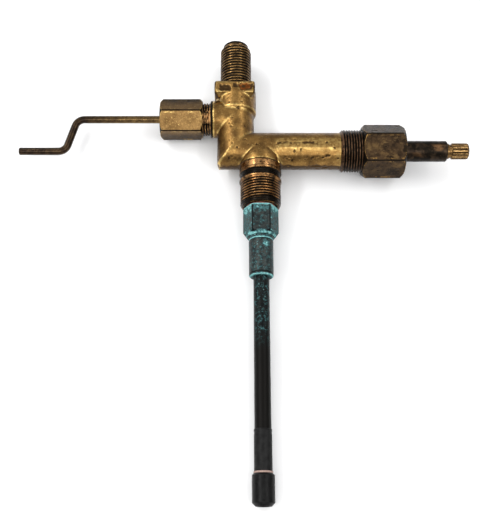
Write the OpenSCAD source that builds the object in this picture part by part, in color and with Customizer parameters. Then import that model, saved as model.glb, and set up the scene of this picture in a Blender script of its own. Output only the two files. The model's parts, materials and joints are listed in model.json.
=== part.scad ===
// Old-pattern brass toilet fill valve, lying flat: two screw-down valves in one cast body.
// Millimetres. The inlet, crank, stem and outlet axes all lie in the plane Z = 0.
// +Y runs up the inlet, +X out along the regulating stem, +Z away from the table.
// The origin is on the inlet axis, at the shoulder where the inlet thread starts.
// Heights and depths below are measured from the stem axis, and place() moves them to the origin.

/* [Body casting] */
// Diameter of the leg and of the long arm
arm_d = 19.5; // [18.5:0.1:20]
// Radius that rounds the outer corner of the elbow, about the crossing of its axes
elbow_r = 12.7; // [12:0.1:13.7]
// Distance from the inlet axis to the end of the cast arm
arm_right = 56.5; // [54:0.5:60]
// Height of the step under the inlet head
head_y = 20.7; // [20:0.1:22]
// Diameter of the inlet head
head_d = 22; // [21.6:0.1:22.4]
// Height of the lower face of the square spanner block at the top of the head
block_y = 29.8; // [29:0.1:31]
// Width of the spanner block, side to side
block_w = 21.9; // [21.5:0.1:22.4]
// Depth of the spanner block, front to back
block_depth = 21.5; // [21:0.1:22]
// How far the spanner block is cast off the inlet axis, away from the long arm
block_shift = 0.5; // [0:0.1:0.8]
// Depth of the shallow cast pockets in the front of the block
pocket_depth = 0.5; // [0.3:0.1:0.8]
// Diameter of the short side branch for the crank
branch_d = 19.8; // [19:0.1:20]
// Distance from the inlet axis to the end of the side branch
branch_left = 13.4; // [13:0.1:14]

/* [Inlet] */
// Height of the shoulder where the inlet thread starts, above the stem axis
inlet_y = 37.7; // [37:0.1:38.5]
// Major diameter of the inlet thread
inlet_d = 16.8; // [16.4:0.1:17.2]
// Pitch of the inlet thread
inlet_pitch = 1.7; // [1.4:0.1:1.8]
// Number of full crests on the inlet thread
inlet_crests = 14; // [12:1:14]
// Diameter of the end of the lead-in cone past the thread
nose_d = 13.6; // [13:0.1:14]
// Length of the lead-in cone
lead_l = 3; // [2:0.1:3.5]
// Length of the plain nose past the cone
nose_l = 1.4; // [1:0.1:2]
// Bore of the inlet
inlet_bore_d = 10.4; // [10.4:0.1:10.8]

/* [Crank side] */
// Height of the crank axis above the stem axis
crank_y = 19.4; // [19:0.1:20]
// Diameter of the bent crank rod
rod_d = 4; // [3.9:0.05:4.1]
// Distance from the inlet axis to the corner of the first bend
bend_x = 85.4; // [80:0.2:90]
// Slope of the middle leg of the crank from the rod's own line
bend_slope = 75; // [65:1:80]
// Radius of the bends at the rod's centre
bend_r = 5; // [4:0.5:6]
// Diameter of the rod round its bends, a little drawn down
bend_d = 3.94; // [3.8:0.02:3.96]
// Distance from the inlet axis to the tip of the crank
rod_tip_x = 115; // [110:1:120]
// Throw of the eccentric pin inside the valve
pin_throw = 2.5; // [2.3:0.1:2.6]
// Diameter of the eccentric pin
pin_d = 2.2; // [2:0.1:2.4]
// Major diameter of the gland thread
gland_d = 17.2; // [16.8:0.1:17.4]
// Pitch of the gland thread
gland_pitch = 1.4; // [1.3:0.1:1.5]
// Width across flats of the gland nut
gland_af = 19.05; // [18.9:0.05:19.2]
// Distance from the inlet axis to the inner face of the gland nut
gland_near = 17.7; // [17:0.1:18]
// Length of the gland nut
gland_l = 22.7; // [22:0.1:24]
// Turn of the gland nut about the crank axis, corner up at zero
gland_turn = -3.2; // [-10:0.1:10]

/* [Stem side] */
// Major diameter of the bonnet thread
bonnet_d = 22.2; // [22:0.1:22.3]
// Pitch of the bonnet thread
bonnet_pitch = 1.41; // [1.4:0.01:1.45]
// Distance from the inlet axis to the end face of the bonnet thread
shank_right = 78.5; // [78:0.5:79]
// Width across flats of the bonnet nut
bonnet_af = 25; // [24.8:0.1:25.4]
// Distance from the inlet axis to the inner face of the bonnet nut
bonnet_near = 66.7; // [66:0.1:68]
// Length of the bonnet nut
bonnet_l = 22.1; // [21.8:0.1:22.6]
// Turn of the bonnet nut about the stem axis, flat up at zero
bonnet_turn = 17.4; // [0:0.1:20]
// Diameter of the stem where it leaves the nut
stem_d = 11; // [10.8:0.1:11.1]
// Diameter of the stem's screw inside the arm
screw_d = 12.4; // [12:0.1:12.4]
// Diameter of the neck behind the spline
neck_d = 7.2; // [7:0.1:7.6]
// Distance from the inlet axis to the neck
neck_x = 111.8; // [111:0.1:112.5]
// Diameter over the spline teeth
spline_d = 8.6; // [8.4:0.1:8.8]
// Number of spline teeth
spline_teeth = 14; // [12:2:20]
// Distance from the inlet axis to the start of the spline
spline_x = 114.3; // [114:0.1:115]
// Distance from the inlet axis to the free end of the stem
stem_end = 123.5; // [122:0.5:125]
// Diameter of the tapped hole for the handle screw
handle_hole_d = 3.5; // [3:0.1:3.8]
// Depth of the tapped hole for the handle screw
handle_hole_l = 10; // [8:1:12]

/* [Outlet side] */
// Distance from the inlet axis to the outlet axis
outlet_x = 13; // [12.8:0.1:13.5]
// Diameter of the turned band above the outlet thread
band_d = 22; // [21.8:0.1:22.2]
// Major diameter of the outlet thread
shank_d = 21; // [20.8:0.1:21.2]
// Pitch of the outlet thread
shank_pitch = 1.5; // [1.4:0.1:1.6]
// Depth of the outlet shank's end face below the stem axis
shank_end = 33.2; // [33:0.1:34]
// Width across flats of the outlet adapter
adapter_af = 15.9; // [15.6:0.1:16]
// Depth of the lower end of the adapter's hexagon
adapter_hex_end = 48.3; // [47:0.1:49]
// Depth where the adapter's round barrel starts
barrel_start = 51.6; // [51:0.1:53]
// Depth of the lower end of the adapter's barrel
barrel_end = 71.4; // [70:0.1:73]
// Diameter of the adapter's barrel
barrel_d = 12.3; // [12:0.1:12.6]
// Outside diameter of the outlet tube
tube_d = 7.94; // [7.9:0.01:8]
// Inside diameter of the outlet tube
tube_bore_d = 6.3; // [6:0.1:6.4]
// Depth of the upper end of the sleeve on the tube
sleeve_top = 146.5; // [140:0.5:150]
// Outside diameter of the sleeve
sleeve_d = 8.5; // [8.4:0.1:8.8]
// Depth of the upper end of the tip
tip_top = 166.5; // [160:0.5:170]
// Length of the tip
tip_l = 14.7; // [13:0.1:16]
// Diameter of the tip
tip_d = 10.6; // [10.4:0.1:11]

/* [Hidden] */
$fn = 96;
cut = 0.5;                    // how far a cutter runs past the face that it opens
slip = 0.05;                  // radial clearance of a turned fit
play = 0.3;                   // radial clearance where parts pass without touching
chamfer = 0.8;                // usual broken edge
thread_depth = 0.75;          // depth of a thread groove, in pitches of its own thread
crest_part = 0.22;            // width of a thread crest, in pitches of its own thread

// Inlet valve, worked by the crank
barrel_top = inlet_y - 1.2;
block_corner_r = 2;
pocket_low = 1;
pocket_h = 5.4;
pockets = [[-9.6, 6.4], [-2.4, 4], [2.4, 6.8]];    // left edge and width of each pocket
nose_y = inlet_y + inlet_pitch * inlet_crests;
inlet_end = nose_y + lead_l + nose_l;
leg_bore_d = 12;
leg_bottom = -5;
throat_y = 26.5;
throat_d = 8;
fill_seat_y = 30;
fill_seat_h = 3.5;
fill_orifice_d = 6.6;
poppet_washer_y = fill_seat_y + fill_seat_h + 0.05;
poppet_washer_h = 2;
poppet_d = 9.6;
poppet_disc_h = 2.4;
poppet_hub_d = 5;
poppet_hub_h = 5.5;
poppet_stem_d = 3.2;

// Crank and its gland
nipple_left = 33;
stuffing_d = 10.2;
bushing_near = 8;
bushing_far = 16;
cam_d = 8.4;
cam_near = 3.4;
cam_far = 5.8;
cam_bore_d = 9.2;
cam_bore_end = 4;
pin_reach = 2.2;              // how far the eccentric pin runs past the inlet axis
spigot_d = 2.8;
packing_far = 26;
follower_flange_d = 14.2;
gland_far = gland_near + gland_l;
gland_wall = 4;
tangent_l = bend_r * tan(bend_slope / 2);
lower_bend_x = bend_x + crank_y / tan(bend_slope);

// Stem, seat and packing
arm_bore_d = 13;
seat_wall_x = 6.8;
seat_face = 9.3;
seat_orifice_d = 8;
seat_d = 12.6;
stem_seat_washer_x = seat_face + 0.05;
stem_seat_washer_h = 2.5;
washer_d = 10;
screw_shank_d = 3.3;
screw_shank_l = 4;
screw_head_d = 6;
screw_head_h = 1.4;
holder_d = 11.6;
holder_cup_l = 4.5;
holder_back = 18.5;
swivel_d = 6;
swivel_l = 3.6;               // length of the swivel pin inside the holder
swivel_gap = 0.4;             // gap at the pin's tip, and behind the holder
inner_stem_d = 9;
screw_near = 60;
screw_far = 74;
screw_pitch = 2;
bonnet_far = bonnet_near + bonnet_l;
bonnet_wall = 3;
bonnet_cavity_d = 19.2;
ring_h = 1.6;
packing_h = bonnet_far - bonnet_wall - shank_right - 2 * ring_h;

// Outlet
shoulder_d = 23;
shoulder_full = 5;            // depth below which the shoulder is fully round
arch_drop = 0.5;              // depth of the top of the shoulder's arch
band_start = 10;
band_end = 14.6;
relief_l = 3.2;
ridge_l = 1.4;
shank_tip_l = 1.5;
outlet_bore_d = 11;
spigot_bore_d = 13.6;
spigot_top = 21.5;
gasket_h = 0.6;
adapter_top = shank_end + gasket_h;
adapter_bore_d = 6.4;
tube_top = 57;
tip_end = tip_top + tip_l;
tip_chamfer = 1.6;
tip_washer_h = 0.8;

// Moves a point given from the inlet and stem axes into the model's frame
function place(x, y, z = 0) = [x, y - inlet_y, z];

// Children stand on the XY plane, +Z up; these lay them along a row axis from a point
module right_from(x, y) {
    translate(place(x, y)) rotate([0, 90, 0]) children();
}

module left_from(x, y) {
    translate(place(-x, y)) rotate([0, -90, 0]) children();
}

module up_from(x, y) {
    translate(place(x, y)) rotate([-90, 0, 0]) children();
}

module down_from(x, depth) {
    translate(place(x, -depth)) rotate([90, 0, 0]) children();
}

// Cylinder with both rims chamfered
module turned(d, h, low = chamfer, high = chamfer) {
    rotate_extrude()
        polygon([[0, 0], [d / 2 - low, 0], [d / 2, low], [d / 2, h - high], [d / 2 - high, h], [0, h]]);
}

module ring(d, bore_d, h) {
    difference() {
        cylinder(h = h, d = d);
        translate([0, 0, -cut]) cylinder(h = h + 2 * cut, d = bore_d);
    }
}

// Hexagonal bar with turned, chamfered ends, a corner along local +X
module hex_bar(af, h, low = 1, high = 1) {
    intersection() {
        cylinder(h = h, d = af / cos(30), $fn = 6);
        turned(af / cos(30), h, low, high);
    }
}

// Thread as one ring groove per pitch; the crest flats keep the true major diameter
function thread_profile(d, pitch, crests) = concat(
    [[0, 0]],
    [for (i = [0 : crests - 1], p = [
        [d / 2, i * pitch],
        [d / 2, (i + crest_part) * pitch],
        [d / 2 - thread_depth * pitch, (i + (1 + crest_part) / 2) * pitch]
    ]) p],
    [[d / 2, crests * pitch], [0, crests * pitch]]
);

module thread(d, pitch, crests) {
    rotate_extrude() polygon(thread_profile(d, pitch, crests));
}

// A thread that fills a given length with whole grooves near the stated pitch
module thread_to_fit(d, pitch, length) {
    crests = floor(length / pitch);
    thread(d, length / crests, crests);
}

// Bar of square section with rounded long edges
module rounded_bar(w, depth, h, r) {
    translate([-w / 2 + r, -depth / 2, 0]) cube([w - 2 * r, depth, h]);
    translate([-w / 2, -depth / 2 + r, 0]) cube([w, depth - 2 * r, h]);
    for (x = [-1, 1], y = [-1, 1])
        translate([x * (w / 2 - r), y * (depth / 2 - r), 0]) cylinder(h = h, r = r);
}

// Inlet head: a round barrel, chamfered below, and a square spanner block with cast pockets
module inlet_head() {
    up_from(0, head_y) turned(head_d, barrel_top - head_y, 1.6, 0.6);
    difference() {
        up_from(-block_shift, block_y)
            rounded_bar(block_w, block_depth, inlet_y - block_y, block_corner_r);
        for (p = pockets)
            translate(place(p[0], block_y + pocket_low, block_depth / 2 - pocket_depth))
                cube([p[1], pocket_h, pocket_depth + cut]);
    }
}

// Mitred elbow between the leg and the arm, with its outer corner rounded off
module elbow() {
    right_from(0, 0) turned(arm_d, arm_right, 0, 0.3);
    up_from(0, 0) cylinder(h = head_y + 1, d = arm_d);
    intersection() {
        right_from(-arm_d, 0) cylinder(h = arm_d + 1, d = arm_d);
        up_from(0, -arm_d) cylinder(h = arm_d + 1, d = arm_d);
        translate(place(0, 0, -arm_d)) cylinder(h = 2 * arm_d, r = elbow_r);
    }
}

// Arched shoulder that blends the outlet shank into the arm
module outlet_shoulder() {
    down_from(outlet_x, shoulder_full) cylinder(h = band_start - shoulder_full, d = shoulder_d);
    intersection() {
        down_from(outlet_x, 0) cylinder(h = band_start, d = shoulder_d);
        translate(place(outlet_x, -shoulder_d / 2 - arch_drop, -shoulder_d))
            cylinder(h = 2 * shoulder_d, d = shoulder_d);
    }
}

module body_bores() {
    up_from(0, fill_seat_y) cylinder(h = inlet_end, d = inlet_bore_d);
    up_from(0, throat_y - cut) cylinder(h = fill_seat_y - throat_y + 2 * cut, d = throat_d);
    up_from(0, leg_bottom) cylinder(h = throat_y - leg_bottom, d = leg_bore_d);
    left_from(bushing_near, crank_y) cylinder(h = nipple_left, d = stuffing_d);
    right_from(-bushing_near - cut, crank_y) cylinder(h = bushing_near + cam_bore_end, d = cam_bore_d);
    right_from(0, 0) cylinder(h = seat_wall_x + cut, d = throat_d);
    right_from(seat_wall_x, 0) cylinder(h = shank_right, d = arm_bore_d);
    down_from(outlet_x, 0) cylinder(h = shank_end, d = outlet_bore_d);
    down_from(outlet_x, spigot_top) cylinder(h = shank_end, d = spigot_bore_d);
}

module valve_body() {
    color("#a8843c") difference() {
        union() {
            elbow();
            inlet_head();
            up_from(0, inlet_y) thread(inlet_d, inlet_pitch, inlet_crests);
            up_from(0, nose_y) cylinder(h = lead_l, d1 = inlet_d, d2 = nose_d);
            up_from(0, nose_y + lead_l - cut) turned(nose_d, nose_l + cut, 0, chamfer);
            left_from(0, crank_y) turned(branch_d, branch_left, 0, 0.6);
            left_from(branch_left, crank_y)
                thread_to_fit(gland_d, gland_pitch, nipple_left - branch_left);
            outlet_shoulder();
            down_from(outlet_x, band_start) turned(band_d, band_end - band_start, 0, 0.3);
            down_from(outlet_x, band_end - cut) cylinder(h = relief_l + 2 * cut, d = shank_d - 1);
            down_from(outlet_x, band_end + relief_l) turned(band_d, ridge_l, 0.2, 0.2);
            down_from(outlet_x, band_end + relief_l + ridge_l)
                thread_to_fit(shank_d, shank_pitch, shank_end - band_end - relief_l - ridge_l - shank_tip_l);
            down_from(outlet_x, shank_end - shank_tip_l) turned(shank_d - 1, shank_tip_l, 0, 0.7);
            right_from(arm_right, 0)
                thread_to_fit(bonnet_d, bonnet_pitch, shank_right - arm_right);
        }
        body_bores();
    }
}

// Renewable seat ring pushed down the inlet, with a raised lip
module fill_seat() {
    color("#b08a45") up_from(0, fill_seat_y) {
        ring(inlet_bore_d - 2 * slip, fill_orifice_d, fill_seat_h - 1);
        ring(fill_orifice_d + 1.6, fill_orifice_d, fill_seat_h);
    }
}

// Poppet: disc above the seat, stem through it, slotted yoke for the eccentric pin
module fill_poppet() {
    yoke_w = 3;
    yoke_h = 5.4;
    slot_low = 0.3;
    slot_high = pin_throw + pin_d / 2 + 0.4;
    disc_y = poppet_washer_y + poppet_washer_h;
    color("#b5914c") difference() {
        union() {
            up_from(0, disc_y) turned(poppet_d, poppet_disc_h, 0, 0.6);
            up_from(0, disc_y) turned(poppet_hub_d, poppet_hub_h);
            up_from(0, crank_y) cylinder(h = disc_y - crank_y + 1, d = poppet_stem_d);
            translate(place(-yoke_w / 2, crank_y - yoke_h / 2, -poppet_stem_d / 2))
                cube([yoke_w, yoke_h, poppet_stem_d / 2 + slot_high + 1]);
        }
        translate(place(-yoke_w, crank_y - pin_d / 2 - 0.2, slot_low))
            cube([2 * yoke_w, pin_d + 0.4, slot_high - slot_low]);
    }
}

module poppet_washer() {
    color("#2b2927") up_from(0, poppet_washer_y)
        ring(poppet_d - 0.2, poppet_stem_d + 2 * slip, poppet_washer_h);
}

// Z-bent rod: a long run through the gland, a sloping leg, and a short run for the link
module crank_rod() {
    first_run = bend_x - tangent_l - cam_far;
    slope_run = crank_y / sin(bend_slope) - 2 * tangent_l;
    last_run = rod_tip_x - lower_bend_x - tangent_l;
    color("#6b5430") {
        left_from(cam_near, crank_y) cylinder(h = cam_far - cam_near + cut, d = spigot_d);
        left_from(cam_far, crank_y) cylinder(h = first_run, d = rod_d);
        translate(place(-bend_x + tangent_l, crank_y - bend_r)) rotate([0, 0, 90])
            rotate_extrude(angle = bend_slope) translate([bend_r, 0]) circle(d = bend_d);
        translate(place(-bend_x, crank_y)) rotate([0, 0, 180 + bend_slope]) translate([tangent_l, 0, 0])
            rotate([0, 90, 0]) cylinder(h = slope_run, d = rod_d);
        translate(place(-lower_bend_x - tangent_l, bend_r)) rotate([0, 0, 270])
            rotate_extrude(angle = bend_slope) translate([bend_r, 0]) circle(d = bend_d);
        left_from(lower_bend_x + tangent_l, 0) turned(rod_d, last_run, 0, 0.3);
    }
}

// Eccentric pressed on the rod's inner end; its pin works in the poppet's slot
module crank_cam() {
    color("#a07c3c") {
        left_from(cam_near, crank_y) ring(cam_d, spigot_d + 2 * slip, cam_far - cam_near);
        right_from(-cam_near - cut, crank_y) translate([-pin_throw, 0, 0])
            cylinder(h = cam_near + cut + pin_reach, d = pin_d);
    }
}

module rod_bushing() {
    color("#b08a45") left_from(bushing_near, crank_y)
        ring(stuffing_d - 2 * slip, rod_d + 2 * slip, bushing_far - bushing_near);
}

// Three rings of plaited packing, side by side
module rod_packing() {
    count = 3;
    pitch = (packing_far - bushing_far) / count;
    color("#4a4640") for (i = [0 : count - 1])
        left_from(bushing_far + (i + 0.02) * pitch, crank_y)
            ring(stuffing_d - 2 * slip, rod_d + 2 * slip, 0.96 * pitch);
}

module gland_follower() {
    sleeve_end = nipple_left + 0.4;
    color("#b08a45") {
        left_from(packing_far, crank_y)
            ring(stuffing_d - 4 * slip, rod_d + 4 * slip, sleeve_end - packing_far + cut);
        left_from(sleeve_end, crank_y)
            ring(follower_flange_d, rod_d + 4 * slip, gland_far - gland_wall - sleeve_end);
    }
}

module gland_nut() {
    cavity_start = nipple_left + 0.2 - gland_near;
    color("#9c7a3a") difference() {
        left_from(gland_near, crank_y) rotate([0, 0, -gland_turn]) hex_bar(gland_af, gland_l, 1.5, 1.5);
        left_from(gland_near - cut, crank_y) cylinder(h = cavity_start + cut, d = gland_d + play);
        left_from(gland_near, crank_y)
            cylinder(h = gland_l - gland_wall, d = follower_flange_d + play);
        left_from(gland_near, crank_y) cylinder(h = gland_l + cut, d = rod_d + 2 * play);
    }
}

// Renewable seat for the regulating valve, screwed into the wall below the stem
module valve_seat() {
    color("#b08a45") {
        right_from(seat_wall_x, 0) ring(seat_d, seat_orifice_d, 1.5);
        right_from(seat_wall_x, 0) ring(seat_orifice_d + 1.4, seat_orifice_d, seat_face - seat_wall_x);
    }
}

module washer_screw() {
    color("#c09a55") {
        difference() {
            right_from(stem_seat_washer_x - screw_head_h, 0) turned(screw_head_d, screw_head_h, 0.4, 0);
            translate(place(stem_seat_washer_x - screw_head_h - cut, -0.5, -screw_head_d))
                cube([cut + 0.6, 1, 2 * screw_head_d]);
        }
        right_from(stem_seat_washer_x - cut, 0) cylinder(h = screw_shank_l + cut, d = screw_shank_d);
    }
}

module seat_washer() {
    color("#2b2927") right_from(stem_seat_washer_x, 0)
        ring(washer_d, screw_shank_d + 2 * slip, stem_seat_washer_h);
}

// Swivelling cup that carries the washer on the end of the stem
module washer_holder() {
    cup_x = stem_seat_washer_x + 1;
    washer_back = stem_seat_washer_x + stem_seat_washer_h;
    color("#b5914c") difference() {
        union() {
            right_from(cup_x, 0) turned(holder_d, holder_cup_l, 0.3, 0.6);
            right_from(cup_x, 0) cylinder(h = holder_back - cup_x, d = inner_stem_d);
        }
        right_from(cup_x - cut, 0)
            cylinder(h = washer_back - cup_x + cut, d = washer_d + 2 * slip);
        right_from(cup_x, 0) cylinder(h = screw_shank_l - 0.7, d = screw_shank_d + 2 * slip);
        right_from(holder_back - swivel_l - swivel_gap, 0)
            cylinder(h = swivel_l + swivel_gap + cut, d = swivel_d + 2 * slip);
    }
}

module spline_grooves() {
    for (i = [0 : spline_teeth - 1])
        rotate([0, 0, i * 360 / spline_teeth]) translate([spline_d / 2 + 0.25, 0, -cut])
            rotate([0, 0, 45]) translate([-0.55, -0.55, 0]) cube([1.1, 1.1, stem_end]);
}

// One turned stem: swivel pin, operating screw, packing journal, neck and handle spline
module stem() {
    color("#4a3d28") {
        right_from(holder_back - swivel_l, 0) turned(swivel_d, swivel_l + 2 * swivel_gap, 0.5, 0);
        right_from(holder_back + swivel_gap, 0) turned(inner_stem_d, screw_near - holder_back, 0.5, 0);
        right_from(screw_near, 0) thread_to_fit(screw_d, screw_pitch, screw_far - screw_near);
        right_from(screw_far - cut, 0) turned(stem_d, neck_x - screw_far + cut, 0, 0.4);
    }
    color("#cda45c") difference() {
        union() {
            right_from(neck_x - cut, 0) cylinder(h = spline_x - neck_x + 2 * cut, d = neck_d);
            right_from(neck_x - cut, 0) turned(neck_d + 1, cut + 1.3, 0, 0.2);
            difference() {
                right_from(spline_x, 0) turned(spline_d, stem_end - spline_x, 0.4, 0.9);
                right_from(spline_x, 0) spline_grooves();
            }
        }
        right_from(stem_end - handle_hole_l, 0) cylinder(h = handle_hole_l + cut, d = handle_hole_d);
    }
}

module friction_ring() {
    color("#b08a45") right_from(shank_right, 0)
        ring(bonnet_cavity_d - play, stem_d + 2 * slip, ring_h);
}

module stem_packing() {
    color("#4a4640") right_from(shank_right + ring_h, 0)
        ring(bonnet_cavity_d - 2 * slip, stem_d + 2 * slip, packing_h);
}

module packing_washer() {
    color("#b08a45") right_from(shank_right + ring_h + packing_h, 0)
        ring(bonnet_cavity_d - play, stem_d + 4 * slip, ring_h);
}

module bonnet_nut() {
    cavity_x = shank_right + 0.2 - bonnet_near;
    color("#5c4a30") difference() {
        right_from(bonnet_near, 0) rotate([0, 0, 30 + bonnet_turn])
            hex_bar(bonnet_af, bonnet_l, 1.9, 1.9);
        right_from(bonnet_near - cut, 0) cylinder(h = cavity_x + cut, d = bonnet_d + play);
        right_from(bonnet_near, 0) cylinder(h = bonnet_l - bonnet_wall, d = bonnet_cavity_d);
        right_from(bonnet_near, 0) cylinder(h = bonnet_l + cut, d = stem_d + 2 * play);
    }
}

module adapter_gasket() {
    color("#7a3b2a") down_from(outlet_x, shank_end)
        ring(adapter_af - 0.3, spigot_bore_d - play, gasket_h);
}

// Hexagonal adapter: threaded spigot in the shank, hexagon, cone and tube barrel
module outlet_adapter() {
    color("#5f8f88") difference() {
        union() {
            down_from(outlet_x, spigot_top + 0.3)
                turned(spigot_bore_d - 2 * play, adapter_top - spigot_top + cut, chamfer, 0);
            down_from(outlet_x, adapter_top)
                hex_bar(adapter_af, adapter_hex_end - adapter_top, 0.6, 0.9);
            down_from(outlet_x, adapter_hex_end)
                cylinder(h = barrel_start - adapter_hex_end, d1 = adapter_af - 0.1, d2 = barrel_d);
            down_from(outlet_x, barrel_start - cut)
                turned(barrel_d, barrel_end - barrel_start + cut, 0, 1);
        }
        down_from(outlet_x, spigot_top) cylinder(h = barrel_end, d = adapter_bore_d);
        down_from(outlet_x, tube_top) cylinder(h = barrel_end, d = tube_d + 2 * slip);
    }
}

module outlet_tube() {
    color("#2f4442") down_from(outlet_x, tube_top)
        ring(tube_d, tube_bore_d, tip_end - 6 - tube_top);
}

module tube_sleeve() {
    color("#26282a") down_from(outlet_x, sleeve_top)
        ring(sleeve_d, tube_d + slip, tip_top - tip_washer_h - sleeve_top);
}

module tip_washer() {
    color("#b59a94") down_from(outlet_x, tip_top - tip_washer_h)
        ring(sleeve_d + 0.6, tube_d + slip, tip_washer_h);
}

module outlet_tip() {
    color("#191a1b") difference() {
        down_from(outlet_x, tip_top) turned(tip_d, tip_l, 1, tip_chamfer);
        down_from(outlet_x, tip_top - cut) cylinder(h = tip_l - 6 + cut, d = tube_d + 2 * slip);
        down_from(outlet_x, tip_top) cylinder(h = tip_l + cut, d = tube_bore_d);
    }
}

valve_body();
fill_seat();
fill_poppet();
poppet_washer();
crank_rod();
crank_cam();
rod_bushing();
rod_packing();
gland_follower();
gland_nut();
valve_seat();
washer_screw();
seat_washer();
washer_holder();
stem();
friction_ring();
stem_packing();
packing_washer();
bonnet_nut();
adapter_gasket();
outlet_adapter();
outlet_tube();
tube_sleeve();
tip_washer();
outlet_tip();
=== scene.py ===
"""Looks of the old brass fill valve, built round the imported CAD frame.

Sizes in this script are millimetres until a mesh is made; MM turns them into metres.
"""

import json
import math

import bmesh
import bpy
import numpy as np
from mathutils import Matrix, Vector


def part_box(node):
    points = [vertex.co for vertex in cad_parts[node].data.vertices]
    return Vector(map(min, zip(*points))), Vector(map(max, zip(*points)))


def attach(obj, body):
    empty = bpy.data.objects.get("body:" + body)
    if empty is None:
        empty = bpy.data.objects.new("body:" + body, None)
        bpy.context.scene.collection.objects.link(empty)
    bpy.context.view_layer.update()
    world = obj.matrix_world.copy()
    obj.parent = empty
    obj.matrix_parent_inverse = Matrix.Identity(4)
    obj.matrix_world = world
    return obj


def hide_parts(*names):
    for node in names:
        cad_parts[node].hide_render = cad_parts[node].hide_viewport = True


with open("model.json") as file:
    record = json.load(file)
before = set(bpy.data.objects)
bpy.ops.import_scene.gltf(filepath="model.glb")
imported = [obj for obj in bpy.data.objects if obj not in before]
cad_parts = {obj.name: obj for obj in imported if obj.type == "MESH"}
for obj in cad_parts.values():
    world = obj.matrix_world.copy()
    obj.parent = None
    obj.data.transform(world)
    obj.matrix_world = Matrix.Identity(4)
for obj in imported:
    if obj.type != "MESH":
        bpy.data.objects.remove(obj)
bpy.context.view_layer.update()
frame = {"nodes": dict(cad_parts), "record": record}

MM = 0.001
TURN = 2 * math.pi


def box(node):
    """Lowest and highest corner of a CAD node, in millimetres."""
    low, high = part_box(node)
    return np.array(low) / MM, np.array(high) / MM


def middle(node):
    low, high = box(node)
    return (low + high) / 2


# ---------------------------------------------------------------- places, from the frame

STEM_Y = middle("friction_ring")[1]
CRANK_Y = middle("rod_bushing")[1]
OUTLET_X = middle("outlet_tube")[0]
BODY_LOW, BODY_HIGH = box("valve_body")

# The casting's own sizes, as in the CAD model
INLET_R = 8.4
INLET_BORE = 5.2
GLAND_THREAD_R = 8.6
BONNET_THREAD_R = 11.1
SHANK_THREAD_R = 10.5
SHANK_BORE = 5.5
ARM_R = 9.75
ELBOW_R = 12.7
ARM_END = 56.5
HEAD_R = 11.0
HEAD_START = STEM_Y + 20.7
BLOCK_START = STEM_Y + 29.8
BLOCK_HALF_X = 10.95
BLOCK_HALF_Z = 10.75
BLOCK_SHIFT = -0.5
INLET_CONE = 23.8
BRANCH_R = 9.9
BRANCH_END = 13.4
SHOULDER_R = 11.5
BAND_START = 10.0
BAND_R = 11.0
RIDGE_DEPTH = 18.0

# Hexagons: size across the flats, and how far each nut is turned
GLAND_FLATS = 19.05
GLAND_TURN = 30 - 3.2
BONNET_FLATS = 25.0
BONNET_TURN = 17.4
ADAPTER_FLATS = 15.9

TOWARDS_CAMERA = np.array((0, -0.358, 0.934))
VIEW_LEAN = math.radians(-24)    # the lit side of the level pieces, opposite their painted shade, leans towards the tube
FAR = 1000.0                     # a place past the end of any piece


class Axis:
    """A line with an origin and a direction; angles round it start at the side direction."""

    def __init__(self, origin, along, side):
        self.origin = np.array(origin, float)
        self.along = np.array(along, float)
        self.side = np.array(side, float)
        self.other = np.cross(self.along, self.side)


STEM_AXIS = Axis((0, STEM_Y, 0), (1, 0, 0), (0, 0, 1))
CRANK_AXIS = Axis((0, CRANK_Y, 0), (-1, 0, 0), (0, 0, 1))
INLET_AXIS = Axis((0, 0, 0), (0, 1, 0), (0, 0, 1))
OUTLET_AXIS = Axis((OUTLET_X, STEM_Y, 0), (0, -1, 0), (0, 0, 1))


# ---------------------------------------------------------------- noise

def lattice(cell, seed):
    """A repeatable random number from -1 to 1 for each whole-number cell."""
    cell = cell.astype(np.int64).astype(np.uint64)
    mixed = cell[..., 0] * np.uint64(73856093)
    mixed ^= cell[..., 1] * np.uint64(19349663)
    mixed ^= cell[..., 2] * np.uint64(83492791)
    mixed ^= np.uint64(seed * 2654435761)
    mixed ^= mixed >> np.uint64(13)
    mixed *= np.uint64(1274126177)
    mixed ^= mixed >> np.uint64(16)
    return (mixed % np.uint64(20011)).astype(float) / 10005.0 - 1.0


def noise(points, size, seed):
    """Smooth value noise at points, with lumps of about the given size."""
    scaled = points / size + 100.0
    cell = np.floor(scaled)
    part = scaled - cell
    part = part * part * (3 - 2 * part)
    total = np.zeros(points.shape[:-1])
    for corner in np.ndindex(2, 2, 2):
        weight = np.ones(points.shape[:-1])
        for k in range(3):
            weight = weight * (part[..., k] if corner[k] else 1 - part[..., k])
        total += weight * lattice(cell + np.array(corner), seed)
    return total


def rough(points, size, seed):
    """Three octaves of noise, from -1 to 1."""
    return sum(noise(points, size / 2**k, seed + k) / 2**k for k in range(3)) / 1.75


def smoothstep(low, high, value):
    t = np.clip((value - low) / (high - low), 0, 1)
    return t * t * (3 - 2 * t)


# ---------------------------------------------------------------- mesh making

def shade_smooth(mesh):
    mesh.polygons.foreach_set("use_smooth", [True] * len(mesh.polygons))


def make_object(name, points, faces, attributes=None):
    """Object from points in millimetres, with its values at each vertex and its faces turned outward."""
    mesh = bpy.data.meshes.new(name)
    mesh.from_pydata((np.asarray(points).reshape(-1, 3) * MM).tolist(), [], faces)
    for key, values in (attributes or {}).items():
        layer = mesh.attributes.new(key, "FLOAT", "POINT")
        layer.data.foreach_set("value", np.asarray(values, np.float32).ravel())
    made = bpy.data.objects.new(name, mesh)
    bpy.context.scene.collection.objects.link(made)
    edit = bmesh.new()
    edit.from_mesh(mesh)
    bmesh.ops.remove_doubles(edit, verts=edit.verts, dist=1e-7)
    bmesh.ops.recalc_face_normals(edit, faces=edit.faces)
    edit.to_mesh(mesh)
    edit.free()
    shade_smooth(mesh)
    return made


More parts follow.
